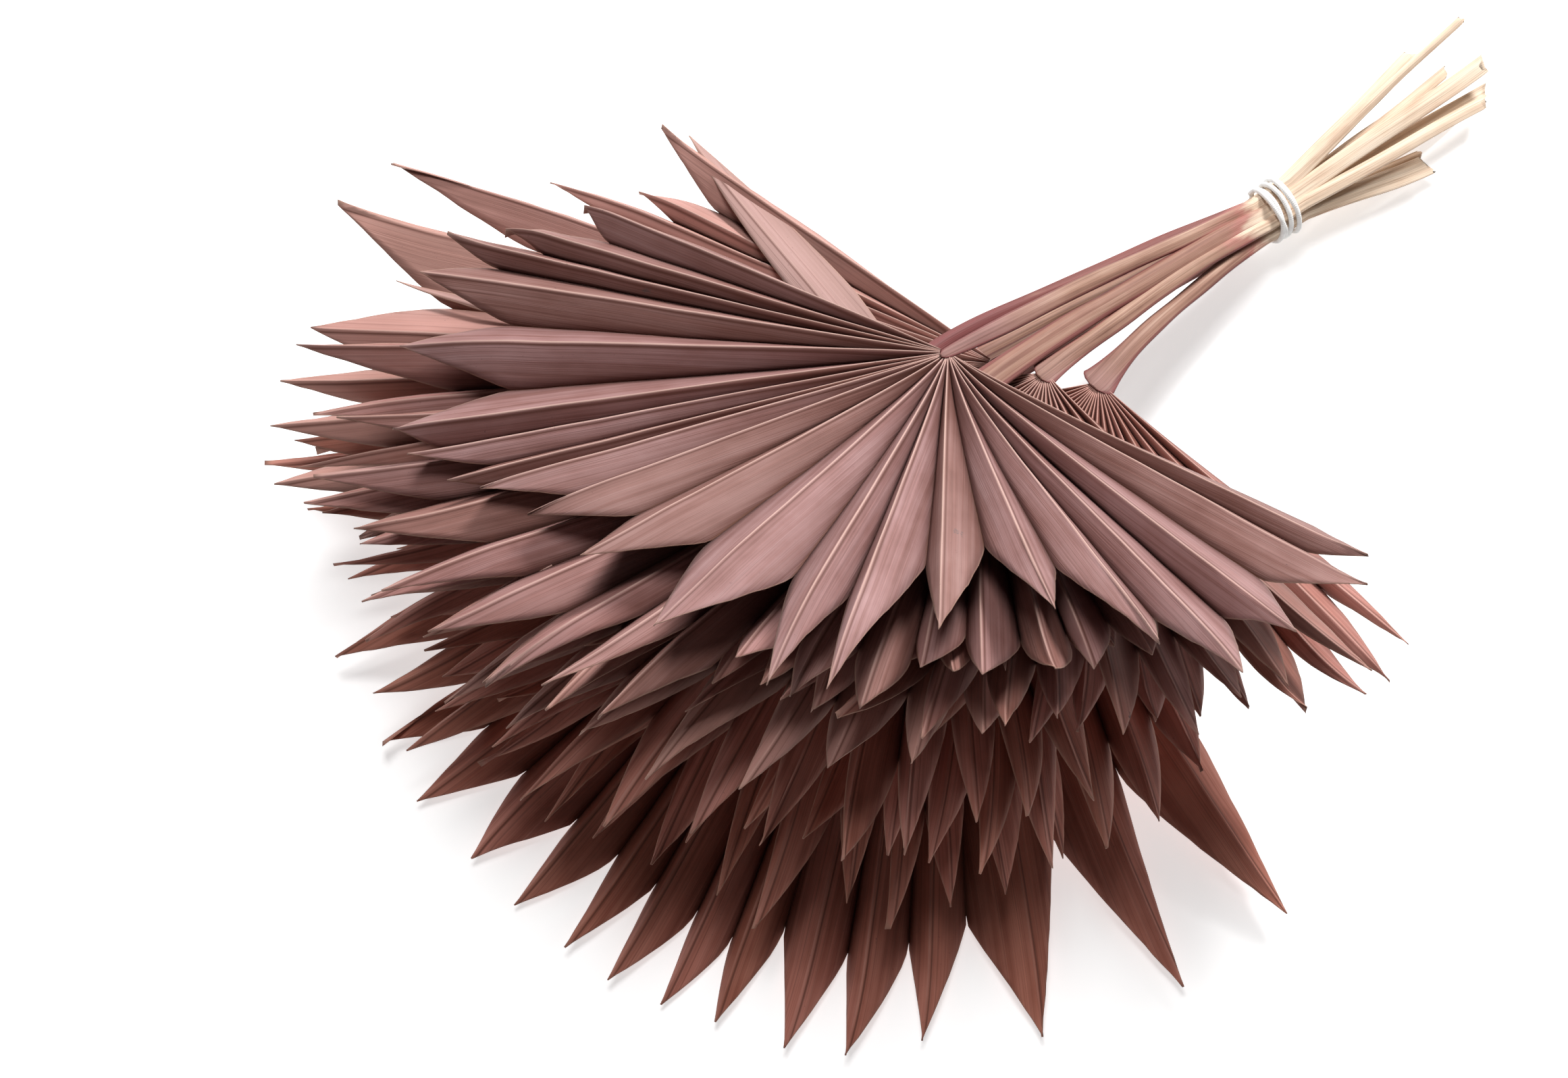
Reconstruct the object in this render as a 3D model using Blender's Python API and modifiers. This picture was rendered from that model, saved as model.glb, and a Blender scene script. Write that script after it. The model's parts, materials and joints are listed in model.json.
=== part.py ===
"""A bunch of ten dried palm fronds, lying on its side and held by a white elastic tie.

Each frond is a pleated fan blade on a slim stem. The ten blades lie one over another like the
leaves of an opened book: the lowest rests its points on the table, the highest stands up steeply.
Run with: blender --background --python part.py   (metres, +Z up, stems along +X)
"""
import math
from collections import namedtuple

import bmesh
import bpy
from mathutils import Matrix, Vector

# ---- driving dimensions: metres, and degrees for the angles of ribs ----
STEMS_YAW = math.radians(34.4)      # direction of the stems while the bunch is laid out, book opening to -Y
LOWEST_HUB = 0.0472                 # height of the lowest blade's hub over the table
HUB_SPACING = 0.0065                # height from one hub to the next
HUB_ROUNDING = 0.030                # radius over which a layer's cone is rounded off at its middle

BLADE_THICKNESS = 0.0008
PLEAT_SLOPE = 0.30                  # rise of a half segment over its width
BLADE_START = 0.0066                # distance from the hub to the blade's inner edge
INNER_RINGS = (0.040, 0.100)        # distances from the hub to the rings inside the notches
NOTCH_SHARE = 0.75                  # where the segments part, as a share of their reach

STEM_SIDES = 8
STEM_HEAD = 0.0040                  # how far the rounded head reaches past the hub
STEM_THINNING = 0.7                 # height of a stem near its hub, as a share of its width
STEM_BEND = 1.4                     # above 1, a stem comes in to the tie along a curve
STEM_TIE_SIZE = (0.0025, 0.0025)    # half width and half height where the tie holds it
STEM_CUT_HEIGHT = 0.0012            # half height at the cut end, which is pressed flat
TIE_DISTANCE = 0.186                # from the middle of the hubs to the tie, along the stems
TIE_HEIGHT = 0.024
TIE_GRIP = 0.009                    # the stems run side by side for this far each way at the tie
SLOT_PITCH = 0.0055                 # spacing of the stems side by side at the tie
ROW_PITCH = 0.0050                  # spacing of the three rows of stems at the tie

TIE_TURNS = 4
TIE_CORD_RADIUS = 0.0009
TIE_PITCH = 0.0025
TIE_HALF_WIDTH = 0.0129
TIE_HALF_HEIGHT = 0.0103
TIE_POINTS_PER_TURN = 20

BLADE_COLOUR = (0.335, 0.170, 0.150, 1.0)
STEM_COLOUR = (0.640, 0.440, 0.290, 1.0)
TIE_COLOUR = (0.860, 0.850, 0.820, 1.0)

# One frond of the stack, in metres.
# hub: its place in the layout.
# slopes: rise of its layer towards the open side of the book, and towards the left and right.
# first_rib, rib_step: degrees. reach: lengths of ribs spread evenly from the first to the last.
# stem: half its width at the hub. slot: its place in the tie, as (steps to the left, row).
# tail: its stem past the tie, as (length, end to the left, end height, half width there).
Frond = namedtuple("Frond", "hub slopes first_rib rib_step ribs reach stem slot tail")

FRONDS = (
    Frond((0.000, 0.004), (-0.190, -0.186, -0.215), 205, 6.1, 17,
          (0.292, 0.288, 0.274),
          0.0030, (0.0, -1), (0.112, 0.000, 0.0016, 0.0030)),
    Frond((-0.014, 0.006), (-0.07, -0.105, -0.107), 186, 6.4, 17,
          (0.284, 0.258, 0.228),
          0.0030, (1.0, -1), (0.094, 0.014, 0.0016, 0.0030)),
    Frond((0.022, 0.004), (0.10, -0.079, -0.083), 184, 6.6, 18,
          (0.296, 0.248, 0.208),
          0.0030, (-1.0, -1), (0.084, -0.010, 0.0016, 0.0028)),
    Frond((0.000, 0.000), (0.24, -0.054, -0.060), 178, 6.5, 18,
          (0.290, 0.254, 0.216),
          0.0030, (0.5, 0), (0.114, 0.0135, 0.0170, 0.0022)),
    Frond((0.066, -0.006), (0.35, -0.028, -0.036), 195, 6.9, 18,
          (0.235, 0.198, 0.184),
          0.0046, (-1.5, 0), (0.080, -0.0170, 0.0100, 0.0044)),
    Frond((0.022, 0.006), (0.44, -0.003, -0.013), 141, 7.0, 19,
          (0.188, 0.240, 0.298, 0.306, 0.303, 0.295, 0.280, 0.260, 0.240, 0.220),
          0.0032, (-0.5, 0), (0.124, -0.0030, 0.0120, 0.0036)),
    Frond((0.042, -0.008), (0.52, 0.023, 0.011), 188, 6.8, 18,
          (0.262, 0.234, 0.206),
          0.0036, (-1.0, 1), (0.118, -0.0095, 0.0190, 0.0026)),
    Frond((-0.010, 0.002), (0.60, 0.049, 0.035), 180, 6.6, 18,
          (0.268, 0.264, 0.222),
          0.0030, (1.5, 0), (0.107, 0.0290, 0.0180, 0.0034)),
    Frond((0.012, -0.014), (0.68, 0.074, 0.058), 186, 6.5, 18,
          (0.282, 0.252, 0.214),
          0.0056, (0.0, 1), (0.128, 0.0055, 0.0230, 0.0036)),
    Frond((0.000, 0.000), (0.92, 0.100, 0.082), 163, 7.2, 22,
          (0.205, 0.228, 0.214, 0.205, 0.258, 0.238, 0.254, 0.212),
          0.0034, (1.0, 1), (0.131, 0.0285, 0.0290, 0.0016)),
)


# ---- materials and scene ----
def clear_scene():
    for thing in list(bpy.data.objects):
        bpy.data.objects.remove(thing, do_unlink=True)


def make_material(name, colour, roughness):
    material = bpy.data.materials.new(name)
    material.use_nodes = True
    shader = material.node_tree.nodes["Principled BSDF"]
    shader.inputs["Base Color"].default_value = colour
    shader.inputs["Roughness"].default_value = roughness
    shader.inputs["Metallic"].default_value = 0.0
    material.diffuse_color = colour
    return material


def add_object(name, data, material, collection, parent):
    data.materials.append(material)
    made = bpy.data.objects.new(name, data)
    collection.objects.link(made)
    made.parent = parent
    return made


# ---- layers: each blade lies on its own curved layer, and the layers never cross ----
def layer_slopes(layer):
    """Rise of a layer towards its front, left, right and back."""
    return *FRONDS[layer].slopes, -0.10 - 0.013 * layer


def slope_along(layer, cosine, sine):
    front, left, right, back = layer_slopes(layer)
    return (back if sine > 0 else front) * sine * sine + (right if cosine > 0 else left) * cosine * cosine


def layer_height(layer, x, y):
    distance = math.hypot(x, y)
    height = LOWEST_HUB + HUB_SPACING * layer
    if distance < 1e-9:
        return height
    rise = math.hypot(distance, HUB_ROUNDING) - HUB_ROUNDING
    return height + rise * slope_along(layer, x / distance, y / distance)


def layer_normal(layer, x, y):
    step = 0.0005
    along_x = layer_height(layer, x + step, y) - layer_height(layer, x - step, y)
    along_y = layer_height(layer, x, y + step) - layer_height(layer, x, y - step)
    return Vector((-along_x / (2 * step), -along_y / (2 * step), 1)).normalized()


def blade_point(layer, angle, distance, lift):
    """The point of a blade at a rib angle in degrees and a distance from its hub, raised off its layer."""
    front, _, _, back = layer_slopes(layer)
    turn = math.radians(angle)
    tilt = math.atan(front if math.sin(turn) < 0 else back)
    plan = math.atan2(math.sin(turn) * math.cos(tilt), math.cos(turn))
    flat = distance / math.hypot(1, slope_along(layer, math.cos(plan), math.sin(plan)))
    x = FRONDS[layer].hub[0] + flat * math.cos(plan)
    y = FRONDS[layer].hub[1] + flat * math.sin(plan)
    return Vector((x, y, layer_height(layer, x, y))) + layer_normal(layer, x, y) * lift


def reach_at(frond, rib):
    """Length of a rib, between the frond's stated lengths."""
    place = rib / (frond.ribs - 1) * (len(frond.reach) - 1)
    before = min(int(place), len(frond.reach) - 2)
    return frond.reach[before] + (frond.reach[before + 1] - frond.reach[before]) * (place - before)


# ---- blades ----
def make_blade(layer):
    """A pleated sheet: columns run out from the hub, one on each rib and one on each border between."""
    frond = FRONDS[layer]
    bm = bmesh.new()
    half_step = math.radians(frond.rib_step) / 2
    columns = []
    for column in range(2 * frond.ribs + 1):
        angle = frond.first_rib + (column - 1) * frond.rib_step / 2
        on_rib = column % 2 == 1
        near = [min(max(rib, 0), frond.ribs - 1) for rib in ((column - 1) // 2, column // 2)]
        reach = sum(reach_at(frond, rib) for rib in near) / 2
        distances = [BLADE_START, *INNER_RINGS, NOTCH_SHARE * reach]
        if on_rib:
            distances.append(reach)
        verts = []
        for distance in distances:
            width = min(distance, NOTCH_SHARE * reach) * half_step
            lift = PLEAT_SLOPE * width / 2 * (1 if on_rib else -1)
            verts.append(bm.verts.new(blade_point(layer, angle, distance, lift)))
        columns.append(verts)
    for left, right in zip(columns, columns[1:]):
        for ring in range(len(INNER_RINGS) + 1):
            bm.faces.new((left[ring], left[ring + 1], right[ring + 1], right[ring]))
        tip = left[-1] if len(left) > len(right) else right[-1]
        bm.faces.new((left[len(INNER_RINGS) + 1], tip, right[len(INNER_RINGS) + 1]))
    bmesh.ops.recalc_face_normals(bm, faces=bm.faces)
    mesh = bpy.data.meshes.new(f"blade_{layer + 1}")
    bm.to_mesh(mesh)
    bm.free()
    return mesh


def add_blade(layer, material, collection, parent):
    blade = add_object(f"blade_{layer + 1:02d}", make_blade(layer), material, collection, parent)
    shell = blade.modifiers.new("thickness", "SOLIDIFY")
    shell.thickness = BLADE_THICKNESS
    shell.offset = 0
    return blade


# ---- stems ----
def along_stems(along, sideways, height):
    """A point given by its distance along the stems from the hubs, to their left, and over the table."""
    cosine, sine = math.cos(STEMS_YAW), math.sin(STEMS_YAW)
    return Vector((along * cosine - sideways * sine, along * sine + sideways * cosine, height))


def slot_point(slot, along):
    """Where a stem passes the tie: three rows of stems packed side by side."""
    return along_stems(along, slot[0] * SLOT_PITCH, TIE_HEIGHT + slot[1] * ROW_PITCH)


def stem_path(layer):
    """Stations along a stem, as (point, half width, half height), from its head to its cut end."""
    frond = FRONDS[layer]
    hub = Vector((*frond.hub, layer_height(layer, *frond.hub)))
    grip = slot_point(frond.slot, TIE_DISTANCE - TIE_GRIP)
    hub_size = (frond.stem, frond.stem * STEM_THINNING)
    leftward = along_stems(0, 1, 0)

    def between(share):
        """A point of the stem's curve from hub to tie: seen from above it falls in line with the others."""
        point = hub.lerp(grip, share)
        aside = (hub - grip).dot(leftward)
        return point + leftward * aside * ((1 - share) ** STEM_BEND - (1 - share))

    ahead = (between(0.1) - hub).normalized()
    stations = []
    for turn in (20, 50, 90):       # the rounded head, seen from above
        share = math.sin(math.radians(turn))
        back = -STEM_HEAD * math.cos(math.radians(turn))
        stations.append((hub + ahead * back, hub_size[0] * share, hub_size[1] * (0.5 + 0.5 * share)))
    for share in (0.12, 0.3, 0.5, 0.75, 1.0):
        half_width, half_height = (
            start + (held - start) * share for start, held in zip(hub_size, STEM_TIE_SIZE)
        )
        stations.append((between(share), half_width, half_height))
    start = slot_point(frond.slot, TIE_DISTANCE + TIE_GRIP)
    stations.append((start, *STEM_TIE_SIZE))
    length, aside, height, half_width = frond.tail
    end = along_stems(TIE_DISTANCE + length, aside, height)
    for share in (0.35, 0.7, 1.0):
        width = STEM_TIE_SIZE[0] + (half_width - STEM_TIE_SIZE[0]) * share
        thickness = STEM_TIE_SIZE[1] + (STEM_CUT_HEIGHT - STEM_TIE_SIZE[1]) * share
        stations.append((start.lerp(end, share), width, thickness))
    return stations


def make_loft(name, stations, sides):
    """A closed solid through oval sections that stand upright across the path."""
    bm = bmesh.new()
    rings = []
    for index, (point, half_width, half_height) in enumerate(stations):
        before = stations[max(index - 1, 0)][0]
        after = stations[min(index + 1, len(stations) - 1)][0]
        ahead = (after - before).normalized()
        across = Vector((0, 0, 1)).cross(ahead).normalized()
        upward = ahead.cross(across)
        ring = []
        for side in range(sides):
            turn = 2 * math.pi * (side + 0.5) / sides
            offset = across * half_width * math.cos(turn) + upward * half_height * math.sin(turn)
            ring.append(bm.verts.new(point + offset))
        rings.append(ring)
    for ring, following in zip(rings, rings[1:]):
        for side in range(sides):
            nxt = (side + 1) % sides
            bm.faces.new((ring[side], ring[nxt], following[nxt], following[side]))
    bm.faces.new(rings[0])
    bm.faces.new(rings[-1])
    bmesh.ops.recalc_face_normals(bm, faces=bm.faces)
    mesh = bpy.data.meshes.new(name)
    bm.to_mesh(mesh)
    bm.free()
    mesh.shade_smooth()
    mesh.set_sharp_from_angle(angle=math.radians(60))
    return mesh


def add_stem(layer, material, collection, parent):
    name = f"stem_{layer + 1:02d}"
    return add_object(name, make_loft(name, stem_path(layer), STEM_SIDES), material, collection, parent)


# ---- tie ----
def add_tie(material, collection, parent):
    """An elastic cord wound round the stems as an oval helix."""
    curve = bpy.data.curves.new("tie", "CURVE")
    curve.dimensions = "3D"
    curve.bevel_depth = TIE_CORD_RADIUS
    curve.bevel_resolution = 1
    curve.use_fill_caps = True
    count = TIE_TURNS * TIE_POINTS_PER_TURN + 1
    spline = curve.splines.new("POLY")
    spline.points.add(count - 1)
    for index in range(count):
        turn = 2 * math.pi * index / TIE_POINTS_PER_TURN - math.pi / 2
        along = TIE_DISTANCE + TIE_PITCH * (index / TIE_POINTS_PER_TURN - TIE_TURNS / 2)
        sideways = TIE_HALF_WIDTH * math.cos(turn)
        height = TIE_HEIGHT + TIE_HALF_HEIGHT * math.sin(turn)
        spline.points[index].co = (*along_stems(along, sideways, height), 1)
    return add_object("tie", curve, material, collection, parent)


# ---- frame: stems along +X, origin at the middle of the underside ----
def settle(layout, pieces):
    """Turns the stems on to +X and puts the origin at the bottom centre of the whole bunch."""
    layout.rotation_euler = (0, 0, -STEMS_YAW)
    bpy.context.view_layer.update()
    graph = bpy.context.evaluated_depsgraph_get()
    corners = []
    for piece in pieces:
        seen = piece.evaluated_get(graph)
        mesh = seen.to_mesh()
        corners += [piece.matrix_world @ vert.co for vert in mesh.vertices]
        seen.to_mesh_clear()
    low = Vector(min(corner[axis] for corner in corners) for axis in range(3))
    high = Vector(max(corner[axis] for corner in corners) for axis in range(3))
    middle = (low + high) / 2
    layout.location = (-middle.x, -middle.y, -low.z)


def main():
    clear_scene()
    collection = bpy.data.collections.new("palm_frond_bunch")
    bpy.context.scene.collection.children.link(collection)
    layout = bpy.data.objects.new("layout", None)
    collection.objects.link(layout)
    dyed_leaf = make_material("dyed_leaf", BLADE_COLOUR, 0.6)
    dry_stem = make_material("dry_stem", STEM_COLOUR, 0.7)
    white_elastic = make_material("white_elastic", TIE_COLOUR, 0.5)
    pieces = []
    for layer in range(len(FRONDS)):
        pieces.append(add_blade(layer, dyed_leaf, collection, layout))
        pieces.append(add_stem(layer, dry_stem, collection, layout))
    pieces.append(add_tie(white_elastic, collection, layout))
    settle(layout, pieces)


main()
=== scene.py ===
"""A bunch of ten dried, dyed palm fronds, lying on its side and held by a white elastic tie.

Every pleated segment of a blade is a strip that runs out from the hub of its frond. One tree of
geometry nodes shapes the strips: it lays them on the curved layer of their blade, folds them along
the rib, cuts them to points and lets their tips droop, twist and sway.
"""
import json
import math
import random

import bmesh
import bpy
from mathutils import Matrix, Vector

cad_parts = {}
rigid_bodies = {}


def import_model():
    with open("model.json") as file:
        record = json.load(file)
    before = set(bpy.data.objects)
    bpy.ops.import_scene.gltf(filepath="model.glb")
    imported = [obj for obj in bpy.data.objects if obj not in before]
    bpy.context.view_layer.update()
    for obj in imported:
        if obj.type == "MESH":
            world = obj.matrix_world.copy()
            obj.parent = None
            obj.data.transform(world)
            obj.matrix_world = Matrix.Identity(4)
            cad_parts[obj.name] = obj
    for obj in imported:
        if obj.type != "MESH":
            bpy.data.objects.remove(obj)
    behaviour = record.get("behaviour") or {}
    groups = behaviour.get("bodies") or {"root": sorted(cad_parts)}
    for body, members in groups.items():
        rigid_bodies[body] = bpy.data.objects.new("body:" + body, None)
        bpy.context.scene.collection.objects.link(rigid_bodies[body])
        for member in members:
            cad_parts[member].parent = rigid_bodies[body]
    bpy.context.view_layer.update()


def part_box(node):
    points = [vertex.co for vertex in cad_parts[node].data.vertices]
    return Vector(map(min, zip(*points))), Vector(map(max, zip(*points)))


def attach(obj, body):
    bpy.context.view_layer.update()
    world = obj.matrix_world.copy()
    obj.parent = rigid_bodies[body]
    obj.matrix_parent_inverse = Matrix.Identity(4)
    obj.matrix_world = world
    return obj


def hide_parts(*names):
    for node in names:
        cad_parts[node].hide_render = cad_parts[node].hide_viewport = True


# ---- the layout of the bunch, in metres and degrees: the same rules as the solid parts ----
STEMS_YAW = math.radians(34.4)
LOWEST_HUB = 0.0472
HUB_SPACING = 0.0065
HUB_ROUNDING = 0.030
TIE_DISTANCE = 0.186
TIE_HEIGHT = 0.024
TIE_GRIP = 0.009
SLOT_PITCH = 0.0055
ROW_PITCH = 0.0050
STEM_BEND = 1.4
TIE_TURNS = 4
TIE_HALF_WIDTH = 0.0129
TIE_HALF_HEIGHT = 0.0103

# ---- blades ----
TOP_LAYER = 9                       # layers are counted from 0, the lowest
STRIP_COLUMNS = 13                  # points across one segment
STRIP_ROWS = 46                     # points along one segment
LEAF_THICKNESS = 0.00035
BLADE_START = 0.0035
RIB_HEIGHT = 0.00035
RIB_WIDTH = 0.00045
FOLD_AT_HUB = 1.75                  # how deep the pleats are, against the width of a segment
FOLD_OUTER = 0.42
FOLD_FADE = 0.055
CEILING = 0.2440                    # nothing stands higher
FLOOR_CLEARANCE = 0.0012
BACK_RISE = -0.10                   # how a blade falls behind its hub, and how much more each one does
BACK_RISE_STEP = -0.013
FIRST_BORDER = 3.0                  # degrees from the first rib back to the edge of its blade
MOST_NOTCH = 0.93                   # a valley ends no further out than this share of the reach
FRONT_FROM, FRONT_TO = 240, 312     # degrees between which the middle blades' points hang loosely
TUCKED_FROM, TUCKED_TO = 240, 305   # degrees between which the tucked blades are shorter
TUCKED_LAYERS = (7, 8)              # these lie just under the top one
TUCKED_SHARE = 0.86
LOWEST_REACH = 0.289                # the lowest blade reaches no further
UPPER_LEFT_LAYER = 5                # this blade is paler than the rest
PALENESS = 0.42

# ---- studio ----
CAMERA_PLACE = (-0.0683, -0.5191, 1.3050)
CAMERA_TILT = math.radians(20)
CAMERA_LENS = 71.98
FLOOR_HALF = 25.0
FLOOR_DROP = 0.0005
FLOOR_GLOW = 0.60                   # the floor's own brightness, which keeps shadows on it light
WORLD_LIGHT = 0.08
# Lights: name, place, aim, size and power.
LIGHTS = (
    ("key", (0.70, 1.45, 1.15), (0, -0.05, 0.1), 0.5, 48),
    ("overhead", (-0.15, 0.45, 2.0), (-0.05, -0.10, 0.05), 0.7, 26),
)

# ---- colours ----
PALE_LEAF = (0.520, 0.335, 0.290, 1.0)
# The pale rib line is partly the rib's own colour and partly a painted highlight; the next colour is a
# painted shadow beside it.
RIB_COLOUR_AND_HIGHLIGHT = (0.560, 0.370, 0.315, 1.0)
RIB_SHADOW = (0.105, 0.038, 0.026, 1.0)
# Painted shade towards each crease.
VALLEY_SHADE = (0.092, 0.034, 0.026, 1.0)
# A thin dark line along each crease: partly its own colour, partly painted shade.
VALLEY_LINE_AND_SHADE = (0.150, 0.062, 0.036, 1.0)
CUT_EDGE = (0.420, 0.260, 0.190, 1.0)
STAIN = (0.045, 0.030, 0.034, 1.0)
SPECK = (0.090, 0.045, 0.040, 1.0)
VEIN = (0.130, 0.052, 0.038, 1.0)
SCUFF = (0.105, 0.085, 0.085, 1.0)
# Tints by blade height: lower blades lighter and warmer, the top one darker; partly their own tone, partly
# painted light that lifts the shade on the lower blades and tones down the light on the top one.
LOWEST_TINT = (1.50, 1.10, 0.90, 1.0)
TOP_TINT = (0.80, 0.81, 0.83, 1.0)
STALK_MARGIN = (0.190, 0.044, 0.046, 1.0)
STALK_BLUSH = (0.780, 0.450, 0.330, 1.0)
WORN_DYE = (0.400, 0.110, 0.105, 1.0)
CRACK = (0.110, 0.040, 0.030, 1.0)

random.seed(7)


class Frond:
    """One frond: its hub and its layer's rises, its ribs and their reach, its slot in the tie, its tail.

    The rises are to the front, the left and the right. The tail is its length past the tie, how far
    it goes aside, the height of its end, and about half its width there.
    """

    def __init__(self, hub, rises, first_rib, rib_step, ribs, reach, slot, tail):
        self.hub = hub
        self.rises = rises
        self.first_rib = first_rib
        self.rib_step = rib_step
        self.ribs = ribs
        self.reach = reach
        self.slot = slot
        self.tail = tail


FRONDS = (
    Frond((0.000, 0.004), (-0.190, -0.186, -0.215), 205, 6.1, 17, (0.292, 0.288, 0.274),
          (0.0, -1), (0.112, 0.000, 0.0016, 0.0030)),
    Frond((-0.014, 0.006), (-0.07, -0.105, -0.107), 186, 6.4, 17, (0.284, 0.258, 0.228),
          (1.0, -1), (0.094, 0.014, 0.0016, 0.0030)),
    Frond((0.022, 0.004), (0.10, -0.079, -0.083), 184, 6.6, 18, (0.296, 0.248, 0.208),
          (-1.0, -1), (0.084, -0.010, 0.0016, 0.0028)),
    Frond((0.000, 0.000), (0.24, -0.054, -0.060), 178, 6.5, 18, (0.290, 0.254, 0.216),
          (0.5, 0), (0.114, 0.0135, 0.0170, 0.0022)),
    Frond((0.066, 0.001), (0.35, -0.028, -0.036), 195, 6.9, 18, (0.235, 0.198, 0.184),
          (-1.5, 0), (0.080, -0.0170, 0.0100, 0.0044)),
    Frond((0.022, 0.006), (0.44, -0.003, -0.013), 141, 7.0, 19,
          (0.188, 0.240, 0.298, 0.306, 0.303, 0.295, 0.280, 0.260, 0.240, 0.220),
          (-0.5, 0), (0.124, -0.0030, 0.0120, 0.0036)),
    Frond((0.042, -0.001), (0.52, 0.023, 0.011), 188, 6.8, 18, (0.262, 0.234, 0.206),
          (-1.0, 1), (0.118, -0.0095, 0.0190, 0.0026)),
    Frond((-0.010, 0.002), (0.60, 0.049, 0.035), 180, 6.6, 18, (0.268, 0.264, 0.222),
          (1.5, 0), (0.107, 0.0290, 0.0180, 0.0034)),
    Frond((0.012, -0.014), (0.68, 0.074, 0.058), 186, 6.5, 18, (0.282, 0.252, 0.214),
          (0.0, 1), (0.128, 0.0055, 0.0230, 0.0036)),
    Frond((0.000, 0.000), (0.92, 0.100, 0.082), 163, 7.2, 22,
          (0.205, 0.228, 0.214, 0.205, 0.258, 0.238, 0.254, 0.212),
          (1.0, 1), (0.131, 0.0285, 0.0290, 0.0016)),
)

# Ribs that don't keep an even step. For each: its degrees round the hub, its reach in metres, the
# degrees of the valley after it, and how far out that valley runs before the segments part.
TOP_RIBS = (
    (157.0, 0.165, 161.0, 0.150), (164.0, 0.192, 166.0, 0.175), (167.8, 0.214, 169.6, 0.190),
    (172.8, 0.221, 177.7, 0.180), (182.3, 0.227, 189.5, 0.181), (196.0, 0.233, 199.0, 0.213),
    (200.2, 0.230, 203.8, 0.196), (205.4, 0.218, 207.2, 0.200), (208.4, 0.208, 214.6, 0.170),
    (215.8, 0.198, 223.6, 0.162), (227.2, 0.203, 236.0, 0.161), (241.4, 0.231, 249.6, 0.174),
    (253.2, 0.257, 257.0, 0.186), (258.4, 0.263, 265.0, 0.161), (266.8, 0.234, 273.0, 0.149),
    (277.8, 0.216, 281.4, 0.165), (286.2, 0.234, 288.6, 0.202), (291.4, 0.256, 295.4, 0.207),
    (298.2, 0.241, 303.5, 0.190), (309.4, 0.227, 312.4, 0.185), (315.0, 0.209, 318.0, 0.170),
)
UPPER_LEFT_RIBS = (
    (141.4, 0.184, 146.8, 0.150), (150.6, 0.176, 152.4, 0.165), (154.2, 0.211, 157.6, 0.170),
    (159.4, 0.275, 164.0, 0.214), (166.0, 0.291, 173.0, 0.248), (177.0, 0.292, 179.8, 0.265),
    (182.0, 0.304, 184.2, 0.270), (186.2, 0.308, 189.0, 0.270), (191.6, 0.308, 195.0, 0.262),
)
LOWEST_RIBS = (
    (211.0, 0.284, 215.0, 0.245), (217.6, 0.286, 221.4, 0.245), (224.2, 0.284, 229.0, 0.244),
    (230.2, 0.286, 234.6, 0.243), (236.2, 0.287, 239.6, 0.246), (240.8, 0.289, 244.6, 0.247),
    (245.6, 0.288, 248.8, 0.251), (250.0, 0.286, 253.4, 0.241), (256.8, 0.288, 260.2, 0.245),
    (262.0, 0.286, 266.2, 0.238), (268.2, 0.277, 272.2, 0.228), (278.4, 0.278, 283.4, 0.196),
    (290.6, 0.273, 294.6, 0.178), (302.4, 0.266, 307.0, 0.180),
)
RIBS_OF = {TOP_LAYER: TOP_RIBS, UPPER_LEFT_LAYER: UPPER_LEFT_RIBS, 0: LOWEST_RIBS}

# Small grey scuffs on the top blade: degrees round the hub, distance from it, and size.
SCUFFS = ((268.6, 0.150, 0.0055), (169.6, 0.128, 0.0040), (169.9, 0.118, 0.0030), (285.0, 0.110, 0.0022))

# A turned segment and three slivers lie loose between the blades. For each: the two ends and the
# middle of its line in plan, its height over the layer, its greatest width, its twist and its tone.
LOOSE_STRIPS = (
    ("turned_segment", 5, ((-0.024, 0.000), (-0.058, 0.046), (-0.110, 0.119)), 0.0050, 0.0235, 0.22, 0.97),
    ("sliver_high", 5, ((-0.176, 0.024), (-0.203, 0.034), (-0.235, 0.046)), 0.0015, 0.0050, 0.6, 0.9),
    ("sliver_middle", 5, ((-0.200, 0.014), (-0.228, 0.010), (-0.252, 0.014)), 0.0025, 0.0055, 1.0, 0.9),
    ("sliver_low", 5, ((-0.170, -0.030), (-0.205, -0.038), (-0.228, -0.040)), 0.0060, 0.0050, 1.1, 0.95),
)


# ---- writing node trees ----
class Wire:
    """A value running through a node tree. Arithmetic on it adds Math nodes."""

    def __init__(self, tree, socket):
        self.tree = tree
        self.socket = socket

    def math(self, operation, *others):
        values = {0: self}
        for place, other in enumerate(others):
            values[place + 1] = other
        return self.tree.node("ShaderNodeMath", {"operation": operation}, values)

    def __add__(self, other):
        return self.math("ADD", other)

    def __sub__(self, other):
        return self.math("SUBTRACT", other)

    def __mul__(self, other):
        return self.math("MULTIPLY", other)

    def __truediv__(self, other):
        return self.math("DIVIDE", other)

    def __pow__(self, other):
        return self.math("POWER", other)

    def __neg__(self):
        return self.math("MULTIPLY", -1.0)

    def __lt__(self, other):
        return self.math("LESS_THAN", other)

    def __gt__(self, other):
        return self.math("GREATER_THAN", other)

    def __rsub__(self, other):
        return self.tree.node("ShaderNodeMath", {"operation": "SUBTRACT"}, {0: other, 1: self})

    __radd__ = __add__
    __rmul__ = __mul__

    def fade(self, low, high):
        """0 below low and 1 above high, with a smooth change between."""
        settings = {"interpolation_type": "SMOOTHSTEP"}
        return self.tree.node("ShaderNodeMapRange", settings, {0: self, 1: low, 2: high, 3: 0.0, 4: 1.0})

    def parts(self):
        """The x, y and z of a vector."""
        split = self.tree.add("ShaderNodeSeparateXYZ", {}, {0: self})
        return [Wire(self.tree, socket) for socket in split.outputs]


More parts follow.
